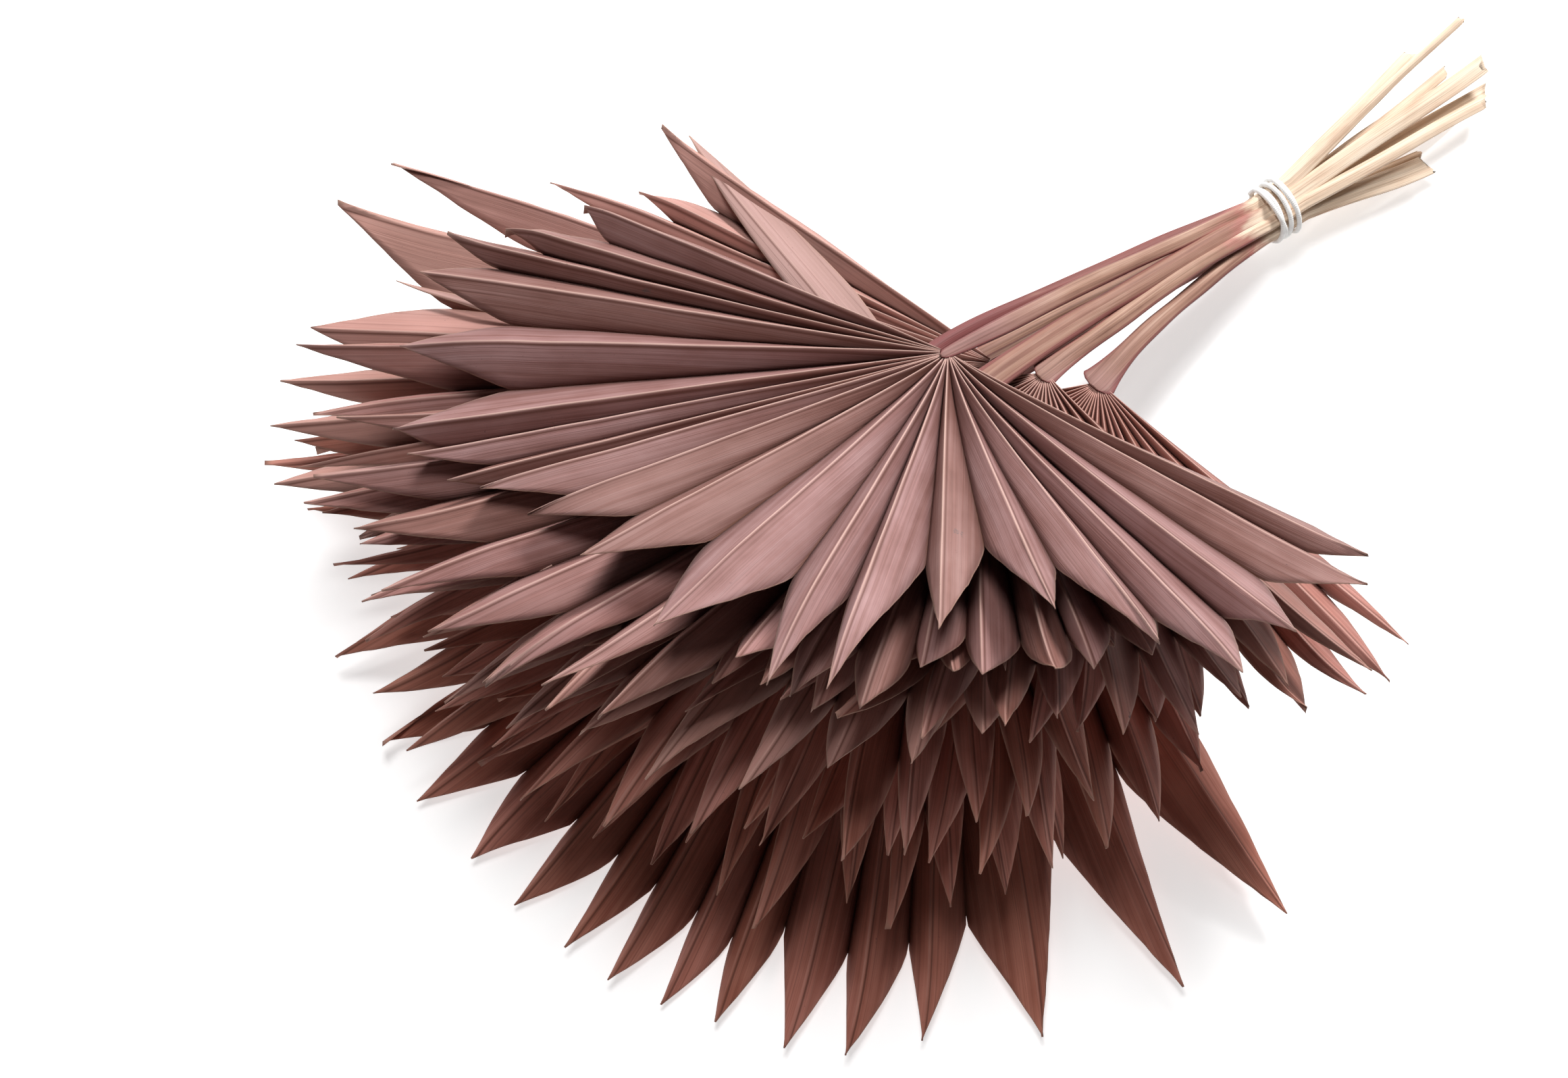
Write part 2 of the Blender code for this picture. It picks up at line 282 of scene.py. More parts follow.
class Tree:
    """A node tree being written."""

    def __init__(self, nodes):
        self.nodes = nodes

    def add(self, kind, settings=None, values=None):
        """Adds a node: first its settings, then the values or wires of its sockets. Returns the node."""
        made = self.nodes.nodes.new(kind)
        for name, setting in (settings or {}).items():
            setattr(made, name, setting)
        for socket, value in (values or {}).items():
            if isinstance(value, Wire):
                self.nodes.links.new(value.socket, made.inputs[socket])
            else:
                made.inputs[socket].default_value = value
        return made

    def node(self, kind, settings=None, values=None, output=0):
        """Adds a node and returns one of its outputs."""
        return Wire(self, self.add(kind, settings, values).outputs[output])

    def vector(self, x, y, z):
        return self.node("ShaderNodeCombineXYZ", {}, {0: x, 1: y, 2: z})

    def vectors(self, operation, *values, output=0):
        return self.node("ShaderNodeVectorMath", {"operation": operation}, dict(enumerate(values)), output)

    def scaled(self, vector, length):
        values = {"Vector": vector, "Scale": length}
        return self.node("ShaderNodeVectorMath", {"operation": "SCALE"}, values)

    def mixed_vectors(self, share, first, second):
        settings = {"data_type": "VECTOR"}
        return self.node("ShaderNodeMix", settings, {0: share, 4: first, 5: second}, 1)

    def blend(self, share, first, second, how="MIX"):
        """Two colours mixed, with share of the second."""
        settings = {"data_type": "RGBA", "blend_type": how}
        return self.node("ShaderNodeMix", settings, {0: share, 6: first, 7: second}, 2)

    def noise(self, place, scale, detail=2.0, roughness=0.5):
        values = {"Vector": place, "Scale": scale, "Detail": detail, "Roughness": roughness}
        return self.node("ShaderNodeTexNoise", {}, values)

    def ramp(self, share, *stops):
        """A colour ramp: each stop is a place and a colour."""
        made = self.add("ShaderNodeValToRGB", {}, {0: share})
        elements = made.color_ramp.elements
        while len(elements) < len(stops):
            elements.new(0.5)
        for element, (place, colour) in zip(elements, stops):
            element.position = place
            element.color = (*colour, 1.0)
        return Wire(self, made.outputs[0])


def attribute(tree, name):
    """A value that the mesh carries, read by a material."""
    return tree.node("ShaderNodeAttribute", {"attribute_name": name}, {}, 2)


def field(tree, name, kind="FLOAT"):
    """A value that the mesh carries, read by geometry nodes."""
    return tree.node("GeometryNodeInputNamedAttribute", {"data_type": kind}, {"Name": name})


# ---- layers ----
def back_rise(layer):
    return BACK_RISE + BACK_RISE_STEP * layer


def slope_along(frond, layer, cosine, sine):
    front, left, right = frond.rises
    lengthwise = back_rise(layer) if sine > 0 else front
    crosswise = right if cosine > 0 else left
    return lengthwise * sine * sine + crosswise * cosine * cosine


def layer_height(layer, x, y):
    distance = math.hypot(x, y)
    height = LOWEST_HUB + HUB_SPACING * layer
    if distance < 1e-9:
        return height
    rise = math.hypot(distance, HUB_ROUNDING) - HUB_ROUNDING
    return height + rise * slope_along(FRONDS[layer], layer, x / distance, y / distance)


def run_along(layer, angle):
    """How far a ray of the blade goes in plan for each metre of its length."""
    frond = FRONDS[layer]
    turn = math.radians(angle)
    tilt = math.atan(frond.rises[0] if math.sin(turn) < 0 else back_rise(layer))
    plan = math.atan2(math.sin(turn) * math.cos(tilt), math.cos(turn))
    flat = 1 / math.hypot(1, slope_along(frond, layer, math.cos(plan), math.sin(plan)))
    return Vector((flat * math.cos(plan), flat * math.sin(plan), 0))


# ---- segments ----
class Segment:
    """One pleated segment: its borders and rib in degrees round the hub, and how its tip behaves."""

    def __init__(self, left, rib, right, reach, notches):
        self.left = left
        self.rib = rib
        self.right = right
        self.reach = reach
        self.notch_left = notches[0]
        self.notch_right = notches[1]
        self.spear = random.uniform(0.95, 1.35)
        self.droop = random.gauss(0.0, 0.10)
        self.sway = random.gauss(0.0, 0.035)
        self.twist = random.gauss(0.0, 0.20)
        self.ridge = random.uniform(0.75, 1.35)
        self.valley_left = 1.0
        self.valley_right = 1.0
        self.hue = random.random()
        self.level = 0.0
        self.pale = 0.0


def reach_at(frond, share):
    place = share * (len(frond.reach) - 1)
    before = min(int(place), len(frond.reach) - 2)
    return frond.reach[before] + (frond.reach[before + 1] - frond.reach[before]) * (place - before)


def ribs_of(layer):
    """The ribs of a blade: the stated ones, then even ones with small differences."""
    frond = FRONDS[layer]
    ribs = list(RIBS_OF.get(layer, ()))
    last = frond.first_rib + (frond.ribs - 1) * frond.rib_step
    angle = ribs[-1][0] + frond.rib_step if ribs else frond.first_rib
    while angle <= last + 1:
        share = min(1.0, (angle - frond.first_rib) / (last - frond.first_rib))
        reach = reach_at(frond, share) * random.uniform(0.92, 1.0)
        step = frond.rib_step * random.uniform(0.80, 1.22)
        valley = angle + step * random.uniform(0.55, 0.80)
        ribs.append((angle, reach, valley, reach * random.uniform(0.74, 0.86)))
        angle += step
    return ribs


def segments_of(layer):
    """The segments of a blade. Those between the lowest and the top one are looser in front."""
    ribs = ribs_of(layer)
    segments = []
    before = ribs[0][0] - FIRST_BORDER
    notch_before = ribs[0][1] * 0.55
    valley_before = 1.0
    for angle, reach, valley, notch in ribs:
        if layer == 0:
            reach = min(reach, LOWEST_REACH)
        if layer in TUCKED_LAYERS and TUCKED_FROM < angle < TUCKED_TO:
            reach *= TUCKED_SHARE
        deepest = reach * MOST_NOTCH
        notches = (min(notch_before, deepest), min(notch, deepest))
        segment = Segment(before, angle, valley, reach, notches)
        segment.level = layer / TOP_LAYER
        segment.pale = PALENESS if layer == UPPER_LEFT_LAYER else 0.0
        segment.valley_left = valley_before
        segment.valley_right = random.uniform(0.7, 1.2)
        if layer == 0:
            segment.droop = abs(segment.droop)
        elif layer < TOP_LAYER and FRONT_FROM < angle < FRONT_TO:
            segment.spear *= 1.5
            segment.droop *= 1.4
            segment.sway *= 1.3
            segment.twist *= 1.3
            segment.notch_left *= 0.90
            segment.notch_right *= 0.90
        elif layer < TOP_LAYER:
            segment.twist *= 1.2
            segment.notch_left *= 0.95
            segment.notch_right *= 0.95
        segments.append(segment)
        before, notch_before, valley_before = valley, notch, segment.valley_right
    return segments


def seed_points(name, layer, segments):
    """A mesh with one point for each segment, which carries what the tree needs to know of it."""
    mesh = bpy.data.meshes.new(name)
    mesh.from_pydata([(0, 0, 0)] * len(segments), [], [])
    numbers = ("reach", "notch_left", "notch_right", "spear", "droop", "sway", "twist", "ridge",
               "valley_left", "valley_right", "hue", "level", "pale")
    for number in numbers:
        carried = mesh.attributes.new(number, "FLOAT", "POINT")
        carried.data.foreach_set("value", [getattr(segment, number) for segment in segments])
    for side in ("left", "rib", "right"):
        carried = mesh.attributes.new(side + "_run", "FLOAT_VECTOR", "POINT")
        flat = []
        for segment in segments:
            flat += list(run_along(layer, getattr(segment, side)))
        carried.data.foreach_set("vector", flat)
    return mesh


def tree_with(name, sockets):
    """A new tree of geometry nodes, with named inputs. Returns it with a wire for each input."""
    group = bpy.data.node_groups.new(name, "GeometryNodeTree")
    group.interface.new_socket("Geometry", in_out="INPUT", socket_type="NodeSocketGeometry")
    for label, kind in sockets:
        group.interface.new_socket(label, in_out="INPUT", socket_type="NodeSocket" + kind)
    group.interface.new_socket("Geometry", in_out="OUTPUT", socket_type="NodeSocketGeometry")
    tree = Tree(group)
    entry = tree.add("NodeGroupInput")
    return tree, {socket.name: Wire(tree, socket) for socket in entry.outputs if socket.name}


def blade_tree():
    """Strips laid on a curved layer, folded along their ribs and cut to points."""
    tree, given = tree_with("pleated_blade", (
        ("Columns", "Int"), ("Rows", "Int"), ("Hub", "Vector"), ("Front rise", "Float"),
        ("Left rise", "Float"), ("Right rise", "Float"), ("Back rise", "Float"),
        ("Hub height", "Float"), ("Ceiling", "Float"), ("Yaw", "Float"), ("Origin", "Vector"),
        ("Finish", "Material"),
    ))
    strip = tree.node("GeometryNodeMeshGrid", {}, {
        "Size X": 2.0, "Size Y": 1.0, "Vertices X": given["Columns"], "Vertices Y": given["Rows"]})
    strips = tree.node("GeometryNodeInstanceOnPoints", {}, {
        "Points": given["Geometry"], "Instance": strip})
    strips = tree.node("GeometryNodeRealizeInstances", {}, {"Geometry": strips})

    place_x, place_y, _ = tree.node("GeometryNodeInputPosition").parts()
    reach = field(tree, "reach")
    on_left = place_x < 0.0
    notch_left = field(tree, "notch_left")
    notch_right = field(tree, "notch_right")
    notch = notch_right + on_left * (notch_left - notch_right)
    across = place_x.math("ABSOLUTE") ** 1.6
    side = place_x.math("SIGN")
    share = 1.0 - (0.5 - place_y) ** 1.15
    along = BLADE_START + (reach - BLADE_START) * share
    outer = ((along - notch) / (reach - notch)).math("MAXIMUM", 0.0)
    parting = notch_left.math("MAXIMUM", notch_right)
    free = ((along - parting) / (reach - parting)).math("MAXIMUM", 0.0) ** 2.0

    # width of this side of the strip: it follows the fan as far as the notch, then its cut edge
    rib_run = field(tree, "rib_run", "FLOAT_VECTOR")
    left_run = field(tree, "left_run", "FLOAT_VECTOR")
    right_run = field(tree, "right_run", "FLOAT_VECTOR")
    apart = tree.vectors("SUBTRACT", tree.mixed_vectors(on_left, right_run, left_run), rib_run)
    apart_length = tree.vectors("LENGTH", apart, output=1)
    sideways = tree.vectors("NORMALIZE", apart)
    full = along.math("MINIMUM", notch * 1.04) * apart_length
    edge_place = tree.vector(along * 240.0, side * 5.0, field(tree, "hue") * 37.0)
    edge_noise = tree.noise(edge_place, 1.0, 3.0) - 0.5
    cut = 1.0 - outer ** field(tree, "spear") + edge_noise * 0.05 * outer.fade(0.0, 0.2)
    width = (full * cut).math("MAXIMUM", 0.00022)
    reached = across * width

    # place in plan, then height on the layer
    twist = field(tree, "twist") * free
    flat = tree.vectors("ADD", given["Hub"], tree.scaled(rib_run, along))
    flat = tree.vectors("ADD", flat, tree.scaled(sideways, reached * twist.math("COSINE")))
    run_x, run_y, _ = rib_run.parts()
    sway = field(tree, "sway") * free * (reach - notch)
    flat = tree.vectors("ADD", flat, tree.scaled(tree.vector(-run_y, run_x, 0.0), sway))
    x, y, _ = flat.parts()
    distance = (x * x + y * y + 1e-9).math("SQRT")
    cosine = x / distance
    sine = y / distance
    lengthwise = (y > 0.0) * (given["Back rise"] - given["Front rise"]) + given["Front rise"]
    crosswise = (x > 0.0) * (given["Right rise"] - given["Left rise"]) + given["Left rise"]
    rise = lengthwise * sine * sine + crosswise * cosine * cosine
    rounded = (distance * distance + HUB_ROUNDING ** 2).math("SQRT")
    height = given["Hub height"] + (rounded - HUB_ROUNDING) * rise
    lean = rise * distance / rounded
    normal = tree.vectors("NORMALIZE", tree.vector(-(lean * cosine), -(lean * sine), 1.0))

    # folds, rib, droop and small waves, all measured off the layer
    span = tree.vectors("LENGTH", tree.vectors("SUBTRACT", right_run, left_run), output=1)
    steep = FOLD_OUTER + (FOLD_AT_HUB - FOLD_OUTER) * (along / -FOLD_FADE).math("EXPONENT")
    pleat = along.math("MINIMUM", notch) * steep
    down_the_side = (reached / full) ** 1.12
    own_fold = field(tree, "ridge") * span.math("MINIMUM", 0.17) * (1.0 - 0.3 * free)
    valley_right = field(tree, "valley_right")
    valley = (valley_right + on_left * (field(tree, "valley_left") - valley_right)) * 0.06
    lift = pleat * (own_fold * 0.5 * (1.0 - down_the_side) - valley * down_the_side)
    rib = (-((reached / RIB_WIDTH) ** 2.0)).math("EXPONENT") * RIB_HEIGHT * along.fade(0.004, 0.03)
    side_twist = side * reached * twist.math("SINE")
    droop = field(tree, "droop") * free * (reach - notch)
    hue = field(tree, "hue")
    wave_place = tree.vector(x * 26.0, y * 26.0, given["Hub height"] * 140.0)
    wave = (tree.noise(wave_place, 1.0, 1.0) - 0.5) * 0.0035 * along.fade(0.03, 0.16)
    edge_wave = (tree.noise(tree.vector(along * 60.0, side * 3.0, hue * 31.0), 1.0, 1.0) - 0.5)
    curl = edge_wave * across * across * outer.fade(0.0, 0.4) * 0.0035
    lift = lift + rib + side_twist + droop + wave + curl
    shaped = tree.vectors("ADD", tree.vector(x, y, height), tree.scaled(normal, lift))
    shaped_x, shaped_y, shaped_z = shaped.parts()
    shaped_z = shaped_z.math("SMOOTH_MIN", given["Ceiling"], 0.020)
    shaped_z = shaped_z.math("SMOOTH_MAX", FLOOR_CLEARANCE, 0.006)
    shaped = tree.vector(shaped_x, shaped_y, shaped_z)

    # what the leaf's finish needs to know is kept before the strips leave their flat grid
    for name, value in (("across", side * reached), ("border", reached / full), ("along", along),
                        ("rim", width - reached), ("outer", outer)):
        strips = tree.node("GeometryNodeStoreNamedAttribute", {"data_type": "FLOAT", "domain": "POINT"}, {
            "Geometry": strips, "Name": name, "Value": value})
    strips = tree.node("GeometryNodeSetPosition", {}, {"Geometry": strips, "Position": shaped})
    strips = tree.node("GeometryNodeTransform", {}, {
        "Geometry": strips, "Rotation": tree.vector(0.0, 0.0, given["Yaw"]),
        "Translation": given["Origin"]})
    strips = tree.node("GeometryNodeRealizeInstances", {}, {"Geometry": strips})
    strips = tree.node("GeometryNodeSetMaterial", {}, {"Geometry": strips, "Material": given["Finish"]})
    tree.add("NodeGroupOutput", {}, {0: strips})
    return tree.nodes


def run_tree(thing, group, values):
    """Runs a tree of geometry nodes on an object and gives the result as a plain mesh."""
    modifier = thing.modifiers.new("shape", "NODES")
    modifier.node_group = group
    for socket in group.interface.items_tree:
        if socket.in_out == "INPUT" and socket.name in values:
            modifier[socket.identifier] = values[socket.name]
    bpy.context.view_layer.update()
    graph = bpy.context.evaluated_depsgraph_get()
    mesh = bpy.data.meshes.new_from_object(thing.evaluated_get(graph), depsgraph=graph)
    thing.modifiers.remove(modifier)
    return mesh


def solidified(piece, thickness):
    shell = piece.modifiers.new("thickness", "SOLIDIFY")
    shell.thickness = thickness
    shell.offset = 0
    bpy.context.view_layer.update()
    graph = bpy.context.evaluated_depsgraph_get()
    mesh = bpy.data.meshes.new_from_object(piece.evaluated_get(graph), depsgraph=graph)
    piece.modifiers.remove(shell)
    piece.data = mesh
    mesh.shade_smooth()
    return piece


def placed(name, mesh):
    made = bpy.data.objects.new(name, mesh)
    bpy.context.scene.collection.objects.link(made)
    return made


def make_blade(layer, group, origin, finish):
    frond = FRONDS[layer]
    name = f"pleated_blade_{layer + 1:02d}"
    piece = placed(name, seed_points(name, layer, segments_of(layer)))
    front, left, right = frond.rises
    mesh = run_tree(piece, group, {
        "Columns": STRIP_COLUMNS, "Rows": STRIP_ROWS, "Hub": (*frond.hub, 0.0),
        "Front rise": front, "Left rise": left, "Right rise": right, "Back rise": back_rise(layer),
        "Hub height": LOWEST_HUB + HUB_SPACING * layer, "Ceiling": CEILING,
        "Yaw": -STEMS_YAW, "Origin": origin, "Finish": finish,
    })
    piece.data = mesh
    return solidified(piece, LEAF_THICKNESS)


# ---- loose strips ----
def carry(mesh, numbers):
    """Puts named values on a mesh, one for each of its points."""
    for name, values in numbers.items():
        mesh.attributes.new(name, "FLOAT", "POINT").data.foreach_set("value", values)


def make_loose_strip(name, layer, line, lift, width, twist, tone, origin, finish):
    """A strip that has turned or split away, lying along a bent line over its layer."""
    rows, columns = 60, 11
    points, faces = [], []
    numbers = {"across": [], "border": [], "along": [], "rim": [], "outer": [], "hue": [], "level": [],
               "pale": []}
    start, middle, end = (Vector((*place, 0)) for place in line)
    for row in range(rows):
        share = row / (rows - 1)
        centre = start * (1 - share) ** 2 + middle * 2 * share * (1 - share) + end * share ** 2
        ahead = ((middle - start) * (1 - share) + (end - middle) * share).normalized()
        aside = Vector((-ahead.y, ahead.x, 0))
        half = width / 2 * min(1.0, 0.72 + 0.9 * share) * max(0.02, 1 - share ** 3.2)
        turn = twist * (share - 0.35) * 1.6
        for column in range(columns):
            place = column / (columns - 1) * 2 - 1
            spread = half * place
            at = centre + aside * spread * math.cos(turn)
            fold = (0.35 - abs(place - 0.25)) * half * 0.20
            height = layer_height(layer, at.x, at.y) + lift + fold + spread * math.sin(turn)
            height += 0.0025 * math.sin(share * 5.0)
            points.append(layout_point((at.x, at.y, height), origin))
            numbers["across"].append(spread - 0.25 * half)
            numbers["border"].append(abs(place))
            numbers["along"].append(0.07 + share * 0.11)
            numbers["rim"].append(half - abs(spread))
            numbers["outer"].append(1.0)
            numbers["hue"].append(tone)
            numbers["level"].append(1.0)
            numbers["pale"].append(tone - 0.4)
    for row in range(rows - 1):
        for column in range(columns - 1):
            first = row * columns + column
            faces.append((first, first + 1, first + columns + 1, first + columns))
    mesh = bpy.data.meshes.new(name)
    mesh.from_pydata(points, [], faces)
    carry(mesh, numbers)
    mesh.materials.append(finish)
    upward = sum(polygon.normal.z for polygon in mesh.polygons)
    if upward < 0:
        mesh.flip_normals()
    piece = solidified(placed(name, mesh), LEAF_THICKNESS * 1.3)
    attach(piece, "root")


# ---- stalks ----
def along_stems(along, sideways, height):
    cosine, sine = math.cos(STEMS_YAW), math.sin(STEMS_YAW)
    return Vector((along * cosine - sideways * sine, along * sine + sideways * cosine, height))


def slot_point(slot, along):
    return along_stems(along, slot[0] * SLOT_PITCH, TIE_HEIGHT + slot[1] * ROW_PITCH)


def smooth(share):
    share = min(1.0, max(0.0, share))
    return share * share * (3 - 2 * share)


class Stalk:
    """How one stalk looks: its widths from hub to tie and its flare, its dye, and its cut end."""

    def __init__(self, hub_half, tie_half, flare, dye, redness, slant, notch, ridge, bow=0.0):
        self.hub_half = hub_half
        self.tie_half = tie_half
        self.flare = flare
        self.dye = dye
        self.redness = redness
        self.slant = slant
        self.notch = notch
        self.ridge = ridge
        self.bow = bow


STALKS = (
    Stalk(0.0030, 0.0029, 0.0, 0.7, 0.2, 0.3, 0.0, 0.2),
    Stalk(0.0031, 0.0029, 0.0, 0.6, 0.1, -0.8, 0.0, -0.2),
    Stalk(0.0030, 0.0028, 0.0, 0.7, 0.2, 0.4, 0.0, 0.1),
    Stalk(0.0032, 0.0029, 0.0, 0.5, 0.1, 1.0, 0.2, 0.0),
    Stalk(0.0044, 0.0034, 0.0036, 0.45, 0.15, -0.3, 0.5, 0.1),
    Stalk(0.0032, 0.0029, 0.0, 0.9, 0.6, 1.2, 0.0, -0.3),
    Stalk(0.0046, 0.0034, 0.0014, 0.4, 0.1, 0.9, 0.1, 0.2),
    Stalk(0.0030, 0.0030, 0.0, 0.9, 1.0, -0.9, 0.6, -0.1, 0.0048),
    Stalk(0.0062, 0.0042, 0.0, 0.25, 0.35, 0.5, 0.9, 0.35),
    Stalk(0.0042, 0.0034, -0.0016, 0.75, 0.15, 0.2, 0.0, 0.25),
)


def stalk_stations(layer):
    """Stations along a stalk from its head to its cut end: (point, half width, half height, along)."""
    frond, stalk = FRONDS[layer], STALKS[layer]
    hub = Vector((*frond.hub, layer_height(layer, *frond.hub)))
    grip = slot_point(frond.slot, TIE_DISTANCE - TIE_GRIP)
    leave = slot_point(frond.slot, TIE_DISTANCE + TIE_GRIP)
    length, aside, height, tail_half = frond.tail
    end = along_stems(TIE_DISTANCE + length, aside, height)
    leftward = along_stems(0, 1, 0)
    offset = (hub - grip).dot(leftward)
    reach = (grip - hub).length
    seed = layer * 17.3
    stations = []
    for step in range(-4, 61):
        share = step / 60
        level = max(share, 0.0)
        point = hub.lerp(grip, level) + leftward * offset * ((1 - level) ** STEM_BEND - (1 - level))
        head = 1.0
        if step < 0:
            point = hub - (grip - hub).normalized() * 0.0042 * math.sin(-share * 60 / 4 * math.pi / 2)
            head = max(0.30, math.cos(-share * 60 / 4 * math.pi / 2))
        half = stalk.hub_half + (stalk.tie_half - stalk.hub_half) * level ** 0.8
        half += stalk.flare * math.exp(-level * reach / 0.011)
        half *= 1 + 0.05 * math.sin(level * 9 + seed) + 0.03 * math.sin(level * 23 + seed * 2)
        hub_tall = stalk.hub_half * 0.55
        tall = hub_tall + (0.0026 - hub_tall) * level
        tall *= 0.45 + 0.55 * smooth(level * reach / 0.022)
        wander = math.sin(level * math.pi) * 0.0006 * math.sin(level * 7 + seed)
        wander += stalk.bow * math.sin(math.sqrt(level) * math.pi)
        point = point + leftward * wander
        stations.append((point, half * head, tall * (0.45 + 0.55 * head), level * reach))
    for step in range(1, 41):
        share = step / 40
        point = leave.lerp(end, share) + leftward * 0.0007 * math.sin(share * 6 + seed) * share
        half = stalk.tie_half + (tail_half * 1.2 - stalk.tie_half) * smooth(share * 1.4)
        tall = 0.0025 + (0.0011 - 0.0025) * share
        stations.append((point, half, tall, reach + 2 * TIE_GRIP + share * (end - leave).length))
    return stations


def make_stalk(layer, origin, finish):
    stalk = STALKS[layer]
    name = f"stalk_{layer + 1:02d}"
    sides = 20
    stations = stalk_stations(layer)
    tie_along = stations[64][3] + TIE_GRIP
    points, faces = [], []
    numbers = {"across": [], "top": [], "along": [], "tail": [], "dye": [], "redness": [], "hue": []}
    rows = len(stations)
    shift = random.random()
    for row, (point, half, tall, along) in enumerate(stations):
        before = stations[max(row - 1, 0)][0]
        after = stations[min(row + 1, rows - 1)][0]
        ahead = (after - before).normalized()
        aside = Vector((-ahead.y, ahead.x, 0)).normalized()
        upward = ahead.cross(aside) * -1
        if upward.z < 0:
            upward = -upward
        for corner in range(sides):
            turn = corner / sides * 2 * math.pi
            flat = math.cos(turn)
            spread = math.copysign(abs(flat) ** 0.75, flat)
            if math.sin(turn) > 0:
                peak = stalk.ridge
                slope = (spread - peak) / (1 - peak) if spread > peak else (peak - spread) / (1 + peak)
                rise = 0.25 + 0.75 * (1 - slope ** 1.05)
                rise *= abs(math.sin(turn)) ** 0.35
            else:
                rise = -abs(math.sin(turn)) ** 0.6 * 0.85
            rise *= 1 + 0.06 * math.sin(turn * 5 + along * 40)
            at = point + aside * half * spread + upward * tall * rise
            if row == rows - 1 or row == rows - 2:
                ragged = 0.0012 * math.sin(turn * 3 + shift * 9) + 0.0008 * math.sin(turn * 7)
                split = 1 - min(1, abs(spread + 0.2) * 1.8)
                cut = stalk.slant * spread * half - stalk.notch * half * split
                at = at + ahead * (cut + ragged - 0.003) * (1.0 if row == rows - 1 else 0.5)
            at.z = max(at.z, 0.0004)
            points.append(layout_point(at, origin))
            numbers["across"].append(half * spread)
            numbers["top"].append(spread)
            numbers["along"].append(along)
            numbers["tail"].append(along - tie_along)
            numbers["dye"].append(stalk.dye)
            numbers["redness"].append(stalk.redness)
            numbers["hue"].append(shift)
    for row in range(rows - 1):
        for corner in range(sides):
            after = (corner + 1) % sides
            first, second = row * sides + corner, row * sides + after
            faces.append((first, second, second + sides, first + sides))
    faces.append(tuple(range(sides - 1, -1, -1)))
    faces.append(tuple(range((rows - 1) * sides, rows * sides)))
    mesh = bpy.data.meshes.new(name)
    mesh.from_pydata(points, [], faces)
    carry(mesh, numbers)
    mesh.materials.append(finish)
    bm = bmesh.new()
    bm.from_mesh(mesh)
    bmesh.ops.recalc_face_normals(bm, faces=bm.faces)
    bm.to_mesh(mesh)
    bm.free()
    mesh.shade_smooth()
    piece = placed(name, mesh)
    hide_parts(f"stem_{layer + 1:02d}")
    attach(piece, "root")


# ---- the tie ----
def elastic_tree():
    """A cord wound round the stalks in uneven, slightly crossing turns."""
    tree, given = tree_with("wound_elastic", (
        ("Turns", "Float"), ("Points", "Int"), ("Half width", "Float"), ("Half height", "Float"),
        ("Length", "Float"), ("Cord radius", "Float"), ("Distance", "Float"), ("Height", "Float"),
        ("Stems yaw", "Float"), ("Yaw", "Float"), ("Origin", "Vector"), ("Finish", "Material"),
    ))
    line = tree.node("GeometryNodeMeshLine", {}, {"Count": given["Points"]})
    share = tree.node("GeometryNodeInputIndex") / (given["Points"] - 1.0)
    turn = share * given["Turns"] * (2 * math.pi)
    wander = (turn * 0.63 + 0.4).math("SINE") * 0.0017 + (turn * 1.37).math("SINE") * 0.0008
    slanted = (turn + 0.8).math("SINE") * 0.0021
    run = given["Distance"] + (share - 0.5) * given["Length"] + wander + slanted
    lump = 1.0 + (turn * 3.0 + 1.0).math("SINE") * 0.018
    layered = 1.0 + share.fade(0.55, 0.75) * 0.055
    sideways = turn.math("COSINE") * given["Half width"] * lump * layered
    upward = turn.math("SINE") * given["Half height"] * lump * layered
    cosine = given["Stems yaw"].math("COSINE")
    sine = given["Stems yaw"].math("SINE")
    place_x = run * cosine - sideways * sine
    place_y = run * sine + sideways * cosine
    place = tree.vector(place_x, place_y, given["Height"] + upward)
    line = tree.node("GeometryNodeSetPosition", {}, {"Geometry": line, "Position": place})
    line = tree.node("GeometryNodeStoreNamedAttribute", {"data_type": "FLOAT", "domain": "POINT"}, {
        "Geometry": line, "Name": "wound", "Value": turn})
    path = tree.node("GeometryNodeMeshToCurve", {}, {"Mesh": line})
    ring = tree.node("GeometryNodeCurvePrimitiveCircle", {}, {
        "Resolution": 14, "Radius": given["Cord radius"]})
    cord = tree.node("GeometryNodeCurveToMesh", {}, {
        "Curve": path, "Profile Curve": ring, "Fill Caps": True})
    cord = tree.node("GeometryNodeTransform", {}, {
        "Geometry": cord, "Rotation": tree.vector(0.0, 0.0, given["Yaw"]), "Translation": given["Origin"]})
    cord = tree.node("GeometryNodeRealizeInstances", {}, {"Geometry": cord})
    cord = tree.node("GeometryNodeSetMaterial", {}, {"Geometry": cord, "Material": given["Finish"]})
    tree.add("NodeGroupOutput", {}, {0: cord})
    return tree.nodes


def make_tie(origin, finish):
    piece = placed("wound_elastic", bpy.data.meshes.new("wound_elastic"))
    mesh = run_tree(piece, elastic_tree(), {
        "Turns": TIE_TURNS + 0.35, "Points": 420, "Half width": TIE_HALF_WIDTH - 0.0002,
        "Half height": TIE_HALF_HEIGHT, "Length": 0.0128, "Cord radius": 0.00115, "Distance": TIE_DISTANCE,
        "Height": TIE_HEIGHT, "Stems yaw": STEMS_YAW, "Yaw": -STEMS_YAW, "Origin": origin, "Finish": finish,
    })
    mesh.shade_smooth()
    piece.data = mesh
    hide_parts("tie")
    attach(piece, "root")


# ---- finishes ----
def new_finish(name):
    material = bpy.data.materials.new(name)
    material.use_nodes = True
    material.node_tree.nodes.clear()
    return material, Tree(material.node_tree)


def finish_with(tree, colour, roughness, normal, specular=0.5):
    shader = tree.add("ShaderNodeBsdfPrincipled", {}, {
        "Base Color": colour, "Roughness": roughness, "Normal": normal,
        "Specular IOR Level": specular})
    tree.add("ShaderNodeOutputMaterial", {}, {"Surface": Wire(tree, shader.outputs[0])})


